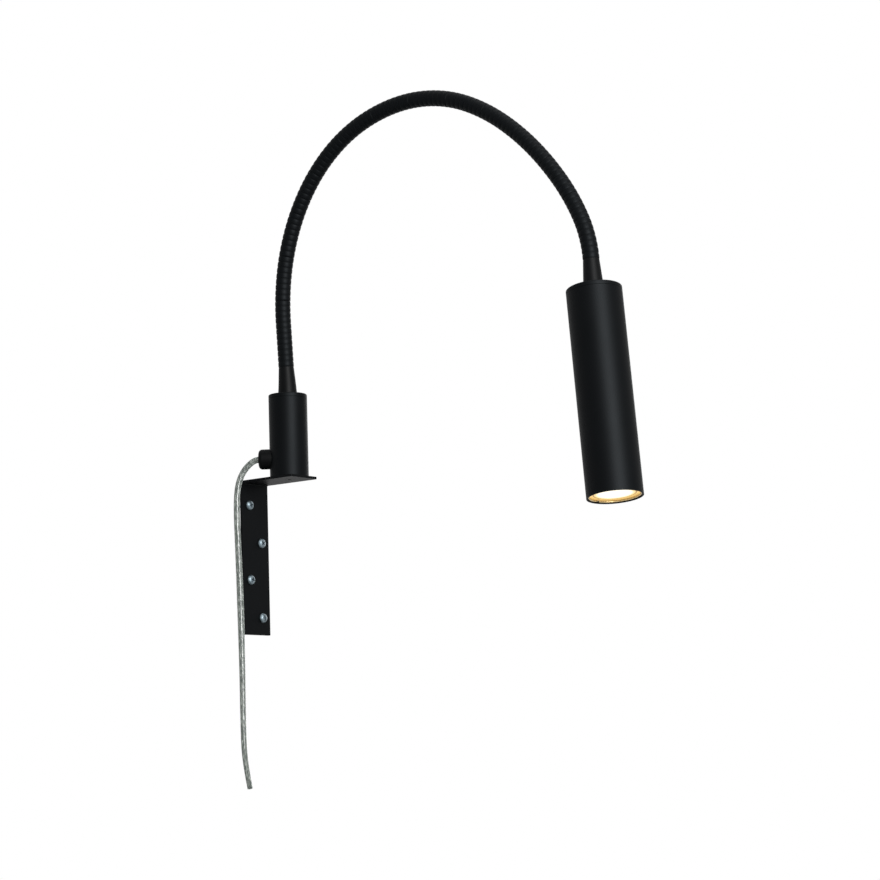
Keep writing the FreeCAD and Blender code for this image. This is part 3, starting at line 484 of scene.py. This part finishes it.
@dataclass(frozen=True)
class LampGlow:
    """The lit front of the lamp: a white core, a golden band, a thin dark line and a pale rim."""

    name: str = "lamp_glow"
    core: Colour = (1.15, 1.08, 0.9)
    gold: Colour = paint(240, 214, 146)
    gold_band: Band = (0.66, 0.82)
    line: Colour = paint(158, 116, 60)
    line_band: Band = (0.83, 0.87)
    rim: Colour = paint(232, 206, 146)
    rim_band: Band = (0.89, 0.93)
    body: Colour = paint(110, 92, 52)
    roughness: float = 0.3
    cells_across: float = 625.0
    cell_depth: float = 0.2 * MM
    cell_strength: float = 0.6

    def build(self) -> bpy.types.Material:
        """Makes the material.

        Returns:
            The material.
        """
        surface = Surface(
            self.name, Base_Color=self.body, Roughness=self.roughness, Emission_Strength=1.0
        )
        outwards = surface.attribute("outwards")
        glow = outwards.between(*self.gold_band).blend(self.core, self.gold)
        glow = outwards.between(*self.line_band).blend(glow, self.line)
        glow = outwards.between(*self.rim_band).blend(glow, self.rim)
        surface.drive("Emission Color", glow)
        cells = surface.place.node("ShaderNodeTexVoronoi", {"Scale": self.cells_across}, "Distance")
        surface.raise_by(cells, self.cell_depth, self.cell_strength)
        return surface.material


class Finish(Enum):
    """Every finish of the lamp."""

    COAT = PowderCoat()
    HEAD_COAT = PowderCoat(name="satin_black_head_coat", roughness=0.5)
    CONE = Moulded(
        "soft_black_cone", paint(9, 10, 12), paint(5, 6, 7), roughness=0.5, specular=0.05
    )
    ARM = ArmSkin()
    ZINC = BareMetal("zinc_plate", paint(112, 124, 130), paint(74, 86, 92), roughness=0.38)
    # Painted light: the steel wire and its stains are coloured warm gold for the lamp's golden light
    # falling on it
    SPRING = BareMetal(
        "spring_wire_painted_lamp_light", paint(206, 184, 140), paint(170, 146, 102), roughness=0.34
    )
    BRASS = BareMetal("turned_brass", paint(205, 172, 98), paint(170, 134, 70), roughness=0.28)
    ALUMINIUM = BareMetal(
        "turned_aluminium", paint(196, 198, 200), paint(170, 172, 175), roughness=0.34
    )
    NYLON = Moulded(
        "moulded_nylon", paint(7, 8, 9), paint(4, 4, 5), roughness=0.5, specular=0.04
    )
    RUBBER = Moulded(
        "black_rubber", paint(14, 14, 14), paint(9, 9, 9), roughness=0.72, specular=0.06
    )
    CLAY = Moulded(
        "pale_clay", paint(232, 229, 220), paint(214, 209, 198), roughness=0.62, specular=0.35
    )
    LEAD = Moulded(
        "insulated_sleeve", paint(176, 178, 182), paint(146, 148, 152), roughness=0.42
    )
    SHELL = Moulded(
        "glowing_glass_shell", paint(150, 128, 78), paint(130, 104, 58),
        roughness=0.25, specular=0.4, glow=paint(206, 172, 104),
    )
    SHEATH = ClearSheath()
    STRANDS = TinnedStrands()
    GLOW = LampGlow()

    @property
    def material(self) -> bpy.types.Material:
        """The finish's material, made when it is first asked for."""
        return bpy.data.materials.get(self.value.name) or self.value.build()


CAD_FINISHES: dict[Finish, Sequence[str]] = {
    Finish.COAT: ("wall_bracket", "base_tube", "base_top_cap", "base_foot_screw"),
    Finish.HEAD_COAT: ("head_tube", "head_top_cap"),
    Finish.CONE: ("lower_cone", "upper_cone"),
    Finish.ZINC: (
        "wall_screws", "lower_washer", "upper_washer", "holder_strap", "holder_screws", "lamp_pins",
    ),
    Finish.BRASS: ("lower_nipple", "upper_nipple", "lower_locknut", "upper_locknut", "terminal_screws"),
    Finish.ALUMINIUM: ("base_foot",),
    Finish.SPRING: ("retaining_ring",),
    Finish.NYLON: ("gland_body", "gland_nut", "gland_locknut"),
    Finish.RUBBER: ("gland_seal",),
    Finish.CLAY: ("terminal_block", "lampholder"),
    Finish.LEAD: ("supply_leads", "base_leads", "head_leads"),
    Finish.SHELL: ("lamp_shell",),
}


# Meshes


def keep_mesh(name: str, shape: bmesh.types.BMesh, finish: Finish) -> bpy.types.Object:
    """Turns a finished bmesh into a smooth-shaded object at the origin.

    Args:
        name: name of the piece.
        shape: its bmesh, which is freed.
        finish: its finish.

    Returns:
        The new object.
    """
    for face in shape.faces:
        face.smooth = True
    mesh = bpy.data.meshes.new(name)
    shape.to_mesh(mesh)
    shape.free()
    mesh.materials.append(finish.material)
    piece = bpy.data.objects.new(name, mesh)
    bpy.context.scene.collection.objects.link(piece)
    return piece


@dataclass(frozen=True)
class Ring:
    """One ring of a swept tube: where it stands, how wide it is and what it carries."""

    place: Matrix
    radius: float
    along: float
    height: float = 0.0


def sweep(rings: Sequence[Ring], sides: int) -> bmesh.types.BMesh:
    """Sweeps a circle through rings and closes both ends.

    Args:
        rings: the rings in order.
        sides: number of sides of each ring.

    Returns:
        The tube, unrolled in its UV map, with each ring's height in its "rib" layer.
    """
    shape = bmesh.new()
    rib = shape.verts.layers.float.new("rib")
    first = rings[0]
    made = bmesh.ops.create_circle(shape, segments=sides, radius=first.radius, matrix=first.place)
    owner = {vertex: first for vertex in made["verts"]}
    edges = list(shape.edges)
    for before, ring in zip(rings, rings[1:]):
        grown = bmesh.ops.extrude_edge_only(shape, edges=edges)["geom"]
        verts = [item for item in grown if isinstance(item, bmesh.types.BMVert)]
        edges = [
            item for item in grown
            if isinstance(item, bmesh.types.BMEdge) and all(v in set(verts) for v in item.verts)
        ]
        move = ring.place @ Matrix.Scale(ring.radius / before.radius, 4) @ before.place.inverted()
        bmesh.ops.transform(shape, matrix=move, verts=verts)
        owner.update({vertex: ring for vertex in verts})
    for vertex, ring in owner.items():
        vertex[rib] = ring.height
    unroll(shape, owner)
    bmesh.ops.holes_fill(shape, edges=shape.edges[:], sides=sides)
    bmesh.ops.recalc_face_normals(shape, faces=shape.faces[:])
    return shape


def unroll(shape: bmesh.types.BMesh, owner: dict[bmesh.types.BMVert, Ring]) -> None:
    """Writes the UV map of a swept tube: metres along it, and turns around it.

    Args:
        shape: the tube.
        owner: the ring of each vertex.
    """
    chart = shape.loops.layers.uv.new("UVMap")
    inverse = {id(ring): ring.place.inverted() for ring in owner.values()}
    for face in shape.faces:
        turns = []
        for loop in face.loops:
            ring = owner[loop.vert]
            local = inverse[id(ring)] @ loop.vert.co
            turns.append(math.atan2(local.y, local.x) / math.tau % 1.0)
        wraps = max(turns) - min(turns) > 0.5
        for loop, turn in zip(face.loops, turns):
            around = turn + 1.0 if wraps and turn < 0.5 else turn
            loop[chart].uv = (owner[loop.vert].along, around)


def turned(outline: Iterable[tuple[float, float]], place: Matrix, steps: int) -> bmesh.types.BMesh:
    """Turns an outline about an axis.

    Args:
        outline: (radius, height) of its points in order.
        place: frame whose Z axis is turned about.
        steps: number of steps around.

    Returns:
        The turned shape, with its poles closed.
    """
    shape = bmesh.new()
    corners = [shape.verts.new((radius, 0.0, height)) for radius, height in outline]
    edges = [shape.edges.new(pair) for pair in zip(corners, corners[1:])]
    bmesh.ops.spin(
        shape, geom=corners + edges, axis=(0, 0, 1), cent=(0, 0, 0),
        angle=math.tau, steps=steps, use_merge=True,
    )
    bmesh.ops.remove_doubles(shape, verts=shape.verts[:], dist=MERGE_DISTANCE)
    bmesh.ops.recalc_face_normals(shape, faces=shape.faces[:])
    bmesh.ops.transform(shape, matrix=place, verts=shape.verts[:])
    return shape


# The arm


@dataclass(frozen=True)
class EvenBend:
    """A stretch that bends evenly over its length and runs straight beyond both ends."""

    length: float
    turn: float
    side: float = 0.0

    def at(self, distance: float) -> Matrix:
        """The frame at a distance from the stretch's start, seen from there.

        Args:
            distance: metres along the stretch.

        Returns:
            The frame, whose Z axis runs along the stretch.
        """
        if distance <= 0:
            return Matrix.Translation((0, 0, distance))
        axis = Vector((self.turn, self.side, 0.0))
        bent = min(distance, self.length)
        half = math.radians(axis.length) * bent / self.length / 2
        chord = bent * math.sin(half) / half
        sideways = axis.cross(Vector((0, 0, 1))).normalized()
        corner = sideways * (chord * math.sin(half)) + Vector((0, 0, chord * math.cos(half)))
        rest = Matrix.Translation((0, 0, distance - bent))
        return Matrix.Translation(corner) @ Matrix.Rotation(2 * half, 4, axis) @ rest


@dataclass(frozen=True)
class ArmLine:
    """The line of the arm at rest: two soft cones, and evenly bent pieces between them."""

    cap: Vector = field(default_factory=lambda: Vector((0.0, -51.5, 169.8)) * MM)
    turns: tuple[float, ...] = (
        -0.3, 11.0, 12.9, 14.5, 16.3, 17.2, 13.9, 17.4, 16.8, 11.9, 9.2, 8.2, 9.2, 19.3,
    )
    side_turns: tuple[tuple[int, float], ...] = ((6, 3.5), (12, -3.8))
    piece: float = 47.1 * MM
    cone: float = 29 * MM
    lower_cone: EvenBend = EvenBend(15 * MM, -2.9)
    upper_cone: EvenBend = EvenBend(15 * MM, 1.0)

    def bend(self, number: int) -> EvenBend:
        """The bend of one piece, counted from 0."""
        return EvenBend(self.piece, self.turns[number], dict(self.side_turns).get(number, 0.0))

    def start(self, number: int) -> Matrix:
        """The frame at the start of a piece."""
        place = Matrix.Translation(self.cap) @ self.lower_cone.at(self.cone)
        for earlier in range(number):
            place = place @ self.bend(earlier).at(self.piece)
        return place

    def at(self, distance: float) -> Matrix:
        """The frame at a distance from the arm's foot, which may lie a little past either end."""
        number = min(max(int(distance / self.piece), 0), len(self.turns) - 1)
        return self.start(number) @ self.bend(number).at(distance - number * self.piece)

    @property
    def length(self) -> float:
        """The arm's whole length."""
        return self.piece * len(self.turns)

    @property
    def head(self) -> Matrix:
        """The frame at the middle of the head's top face, whose Z axis runs down the head."""
        flip = Matrix.Rotation(math.pi, 4, "X")
        return self.start(len(self.turns)) @ flip @ self.upper_cone.at(self.cone).inverted() @ flip


@dataclass
class FlexibleArm:
    """The ribbed arm, skinned by sleeves that each lie over one hinge."""

    line: ArmLine
    crest: float = 8.1 * MM
    root: float = 7.6 * MM
    plain_end: float = 6.55 * MM
    tuck: float = 4 * MM
    ribs: int = 8
    rib_shares: tuple[float, ...] = (0.0, 0.1, 0.2, 0.32, 0.5, 0.68, 0.8, 0.9)
    fullness: float = 3.2
    bend_reach: float = 19 * MM
    sides: int = 40

    def skin(self, start: float, end: float) -> list[Ring]:
        """The rings of one sleeve, which starts and ends in a groove.

        Args:
            start: metres along the arm at its start.
            end: metres along the arm at its end.

        Returns:
            Its rings.
        """
        pitch = self.line.piece / self.ribs
        count = round((end - start) / pitch)
        rings = []
        for rib in range(count):
            for share in self.rib_shares:
                height = 1.0 - abs(2 * share - 1.0) ** self.fullness
                distance = start + (rib + share) * pitch
                radius = self.root + (self.crest - self.root) * height
                rings.append(Ring(self.line.at(distance), radius, distance, height))
        rings.append(Ring(self.line.at(end), self.root, end))
        return rings

    def plain(self, inner: float, outer: float) -> list[Ring]:
        """The rings of a plain end that sits in a cone.

        Args:
            inner: metres along the arm at the end that the cone hides.
            outer: metres along the arm where the ribs begin.

        Returns:
            Its rings, from the hidden end to halfway.
        """
        places = (inner, (inner + outer) / 2)
        return [Ring(self.line.at(place), self.plain_end, place) for place in places]

    def build(self) -> list[bpy.types.Object]:
        """Makes the sleeves over the hinges.

        Returns:
            The sleeves.
        """
        joints = frame["joints"]
        pieces = []
        for number, joint in enumerate(joints, start=1):
            first = number == 1
            last = number == len(joints)
            start = 0.0 if first else (number - 0.5) * self.line.piece
            end = self.line.length if last else (number + 0.5) * self.line.piece
            rings = self.skin(start, end)
            if first:
                rings = self.plain(-self.tuck, 0.0) + rings
            if last:
                rings = rings + self.plain(end + self.tuck, end)[::-1]
            name = f"arm_sleeve_{number:02d}"
            sleeve = keep_mesh(name, sweep(rings, self.sides), Finish.ARM)
            covered = [f"neck_piece_{number:02d}"] + ([f"neck_piece_{number + 1:02d}"] if last else [])
            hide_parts(*covered)
            place = self.line.at(number * self.line.piece)
            reach = place.to_3x3() @ Vector((0, 0, self.bend_reach))
            hinge = Vector(joint["pos_m"])
            hinge - reach
            hinge + reach
            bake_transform(sleeve)
            pieces.append(sleeve)
        logger.info("arm: %d sleeves over %d hinges", len(pieces), len(joints))
        return pieces


# The cord


@dataclass
class MainsCord:
    """The clear cord, which leaves the gland, bends down and hangs to its cut end."""

    radius: float = 3.2 * MM
    length: float = 0.3485
    core_radius: float = 1.3 * MM
    core_offset: float = 1.36 * MM
    core_twist: float = 95 * MM
    core_sides: int = 14
    core_start: float = 0.6
    step: float = 1.2 * MM
    steps_along: int = 12
    steps_around: int = 6
    route: tuple[tuple[float, float, float], ...] = (
        (-0.01784, -0.02695, 0.1030),
        (-0.01987, -0.02416, 0.1030),
        (-0.0238, -0.0187, 0.0994),
        (-0.0286, -0.0122, 0.0902),
        (-0.0319, -0.0076, 0.0755),
        (-0.0329, -0.0067, 0.0500),
        (-0.0319, -0.0074, 0.0080),
        (-0.0299, -0.0072, -0.0500),
        (-0.0296, -0.0076, -0.1150),
        (-0.0293, -0.0070, -0.1720),
        (-0.0287, -0.0077, -0.2060),
        (-0.0220, -0.0082, -0.2335),
    )
    width_shares: tuple[float, ...] = (1, 1, 1, 1, 1, 1, 1.04, 1.12, 0.98, 0.93, 0.9, 0.86)

    def curve(self, name: str, bevel: float) -> bpy.types.Object:
        """The route as one smooth curve.

        Args:
            name: name of the piece.
            bevel: radius of the tube around it, or 0 for the bare line.

        Returns:
            The curve.
        """
        line = bpy.data.curves.new(name, "CURVE")
        line.dimensions = "3D"
        spline = line.splines.new("NURBS")
        spline.points.add(len(self.route) - 1)
        for point, place, share in zip(spline.points, self.route, self.width_shares):
            point.co = (*place, 1.0)
            point.radius = share
        spline.order_u = 3
        spline.use_endpoint_u = True
        spline.resolution_u = self.steps_along
        line.bevel_depth = bevel
        line.bevel_resolution = self.steps_around
        line.use_fill_caps = True
        piece = bpy.data.objects.new(name, line)
        bpy.context.scene.collection.objects.link(piece)
        return piece

    def stations(self) -> list[Matrix]:
        """Lays evenly spaced frames along the route's smooth line.

        Returns:
            The frames, whose Z axes run along the cord.
        """
        bare = self.curve("route_line", 0.0)
        bpy.context.view_layer.update()
        mesh = bpy.data.meshes.new_from_object(bare)
        points = [vertex.co.copy() for vertex in mesh.vertices]
        bpy.data.meshes.remove(mesh)
        bpy.data.objects.remove(bare)
        places = []
        travelled = 0.0
        for before, after in zip(points, points[1:]):
            gap = (after - before).length
            while len(places) * self.step < travelled + gap:
                places.append(before.lerp(after, (len(places) * self.step - travelled) / gap))
            travelled += gap
        frames = []
        across = Vector((1, 0, 0))
        for number, place in enumerate(places):
            ahead = places[min(number + 1, len(places) - 1)] - places[max(number - 1, 0)]
            ahead.normalize()
            across = (across - ahead * across.dot(ahead)).normalized()
            turn = Matrix((across, ahead.cross(across), ahead)).transposed()
            frames.append(Matrix.Translation(place) @ turn.to_4x4())
        return frames

    def core(self, name: str, frames: Sequence[Matrix], phase: float) -> bpy.types.Object:
        """One core of tinned wires, wound around the cord's line.

        Args:
            name: name of the piece.
            frames: frames along the cord.
            phase: where the core starts around the line, in radians.

        Returns:
            The core.
        """
        centres = []
        for number, place in enumerate(frames):
            turn = phase + math.tau * number * self.step / self.core_twist
            offset = Vector((math.cos(turn), math.sin(turn), 0)) * self.core_offset
            centres.append(place @ Matrix.Translation(offset))
        rings = [Ring(place, self.core_radius, n * self.step) for n, place in enumerate(centres)]
        return keep_mesh(name, sweep(rings, self.core_sides), Finish.STRANDS)

    def build(self) -> list[bpy.types.Object]:
        """Makes the sheath and its two cores.

        Returns:
            The three pieces.
        """
        sheath = self.curve("cord_sheath", self.radius)
        sheath.data.materials.append(Finish.SHEATH.material)
        frames = self.stations()
        cores = [
            self.core(f"cord_core_{number}", frames, number * math.pi + self.core_start)
            for number in range(2)
        ]
        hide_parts("mains_cord")
        for piece in (sheath, *cores):
            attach(piece, "base")
        2 * self.radius
        logger.info("cord: sheath and %d cores", len(cores))
        return [sheath, *cores]


# The lamp head


@dataclass
class LampFace:
    """The lit front lens, set in the lamp's shell."""

    line: ArmLine
    head: float = 203 * MM
    recess: float = 2.5 * MM
    radius: float = 22.7 * MM
    bevel: float = 1.0 * MM
    bevel_slope: float = 1.6
    crown: float = 0.5 * MM
    crown_start: float = 0.4
    ripples: int = 3
    ripple_share: float = 0.3
    thickness: float = 2 * MM
    hoops: int = 12
    steps: int = 72

    def place(self) -> Matrix:
        """The frame at the middle of the lens' face, looking out of the head."""
        return self.line.head @ Matrix.Translation((0, 0, self.head - self.recess))

    def outline(self) -> list[tuple[float, float]]:
        """Draws half of the lens' section, from the middle of its face round to that of its back.

        Returns:
            (radius, height) of its points.
        """
        flat = self.radius - self.bevel
        points = []
        for hoop in range(self.hoops + 1):
            share = hoop / self.hoops
            ripple = self.crown * self.ripple_share * math.sin(share * math.tau * self.ripples)
            drop = self.crown * (self.crown_start + share * share)
            points.append((flat * share, ripple * share * (1 - share) - drop))
        points.append((self.radius, -self.bevel * self.bevel_slope))
        points.append((self.radius, -self.thickness))
        points.append((0.0, -self.thickness))
        return points

    def build(self) -> bpy.types.Object:
        """Makes the lens.

        Returns:
            The lens.
        """
        shape = turned(self.outline(), Matrix.Identity(4), self.steps)
        outwards = shape.verts.layers.float.new("outwards")
        for vertex in shape.verts:
            vertex[outwards] = vertex.co.to_2d().length / self.radius
        bmesh.ops.transform(shape, matrix=self.place(), verts=shape.verts[:])
        lens = keep_mesh("lamp_face", shape, Finish.GLOW)
        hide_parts("lamp_lens")
        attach(lens, "head")
        logger.info("lamp: front lens")
        return lens


# The studio


@dataclass(frozen=True)
class SoftBox:
    """A large soft lamp of the studio, which may only shine in what reflects it."""

    name: str
    place: Vector
    width: float
    height: float
    power: float
    shine_only: bool = False

    def build(self, target: Vector) -> None:
        """Sets the lamp up.

        Args:
            target: the point that it is turned to.
        """
        light = bpy.data.lights.new(self.name, "AREA")
        light.shape = "RECTANGLE"
        light.size = self.width
        light.size_y = self.height
        light.energy = self.power
        lamp = bpy.data.objects.new(self.name, light)
        lamp.location = self.place
        lamp.rotation_euler = (target - self.place).to_track_quat("-Z", "Y").to_euler()
        lamp.visible_diffuse = not self.shine_only
        bpy.context.scene.collection.objects.link(lamp)


@dataclass
class Studio:
    """Camera, soft light, white surroundings and a pale floor."""

    eye: Vector = field(default_factory=lambda: Vector((-1.77249, -1.61354, -0.22635)))
    right: Vector = field(default_factory=lambda: Vector((0.6133, -0.7892, -0.0318)))
    upward: Vector = field(default_factory=lambda: Vector((-0.0947, -0.1134, 0.989)))
    lens: float = 94.09
    sensor: float = 36.0
    sight: float = 30.0
    middle: Vector = field(default_factory=lambda: Vector((0.0, -0.25, 0.12)))
    floor_level: float = -1.3
    floor_size: float = 3.2
    floor_colour: Colour = (0.86, 0.86, 0.86)
    floor_specular: float = 0.2
    floor_roughness: float = 0.75
    floor_mottle: float = 0.1
    floor_cloud: float = 60 * MM
    ambient: float = 0.3
    key_place: Vector = field(default_factory=lambda: Vector((-1.05, -2.15, 0.75)))

    def camera(self) -> None:
        """Sets the camera at the photograph's viewing angle."""
        data = bpy.data.cameras.new("camera")
        data.lens = self.lens
        data.sensor_width = self.sensor
        data.clip_end = self.sight
        camera = bpy.data.objects.new("camera", data)
        right = self.right.normalized()
        back = right.cross(self.upward).normalized()
        turn = Matrix((right, back.cross(right), back)).transposed().to_4x4()
        camera.matrix_world = Matrix.Translation(self.eye) @ turn
        bpy.context.scene.collection.objects.link(camera)
        bpy.context.scene.camera = camera

    def lights(self) -> None:
        """Sets up the soft boxes around the lamp."""
        above = Vector((0.2, -0.6, 2.2))
        behind = Vector((1.9, 0.4, 0.6))
        boxes = (
            SoftBox("key", self.key_place, width=1.0, height=2.0, power=40.0),
            SoftBox("key_shine", self.key_place, width=1.1, height=2.0, power=165.0, shine_only=True),
            SoftBox("overhead", above, width=1.6, height=1.6, power=14.0),
            SoftBox("rear", behind, width=0.9, height=1.6, power=10.0),
        )
        for box in boxes:
            box.build(self.middle)

    def surroundings(self) -> None:
        """Makes the surroundings white to the eye and softer as light."""
        world = bpy.data.worlds.new("studio")
        world.use_nodes = True
        tree = world.node_tree
        background = tree.nodes["Background"]
        background.inputs["Color"].default_value = (1.0, 1.0, 1.0, 1.0)
        rays = tree.nodes.new("ShaderNodeLightPath")
        seen = Flow(tree, rays.outputs["Is Camera Ray"])
        through = Flow(tree, rays.outputs["Is Transmission Ray"])
        glossy = Flow(tree, rays.outputs["Is Glossy Ray"])
        indirect = (1.0 - seen) * (1.0 - through) * (1.0 - glossy)
        strength = 1.0 - (1.0 - self.ambient) * indirect
        tree.links.new(strength.socket, background.inputs["Strength"])
        bpy.context.scene.world = world

    def floor(self) -> None:
        """Lays a pale floor as far below the lamp as in a room."""
        shape = bmesh.new()
        place = Matrix.Translation((self.middle.x, self.middle.y, self.floor_level))
        bmesh.ops.create_grid(
            shape, x_segments=2, y_segments=2, size=self.floor_size / 2, matrix=place
        )
        mesh = bpy.data.meshes.new("floor")
        shape.to_mesh(mesh)
        shape.free()
        surface = Surface(
            "pale_floor", Base_Color=self.floor_colour, Specular_IOR_Level=self.floor_specular
        )
        mottle = surface.grain(self.floor_cloud)
        surface.drive("Roughness", self.floor_roughness + self.floor_mottle * mottle)
        mesh.materials.append(surface.material)
        piece = bpy.data.objects.new("floor", mesh)
        bpy.context.scene.collection.objects.link(piece)

    def build(self) -> None:
        """Sets the whole studio up."""
        self.camera()
        self.lights()
        self.surroundings()
        self.floor()
        bpy.context.scene.view_settings.view_transform = "Standard"
        logger.info("studio: camera, lights and floor")


def dress_solids() -> None:
    """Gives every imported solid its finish."""
    for finish, nodes in CAD_FINISHES.items():
        for name in nodes:
            piece = frame["nodes"][name]
            for slot in piece.material_slots:
                slot.material = finish.material
    logger.info("solids: %d finishes", len(CAD_FINISHES))


def main() -> None:
    """Builds the lamp piece by piece, and the studio around it."""
    logging.basicConfig(level=logging.INFO, format="%(message)s")
    Studio().build()
    dress_solids()
    line = ArmLine()
    pieces = [*FlexibleArm(line).build(), *MainsCord().build(), LampFace(line).build()]
    logger.info("lamp: %d pieces over the solids", len(pieces))


if __name__ == "__main__":
    main()
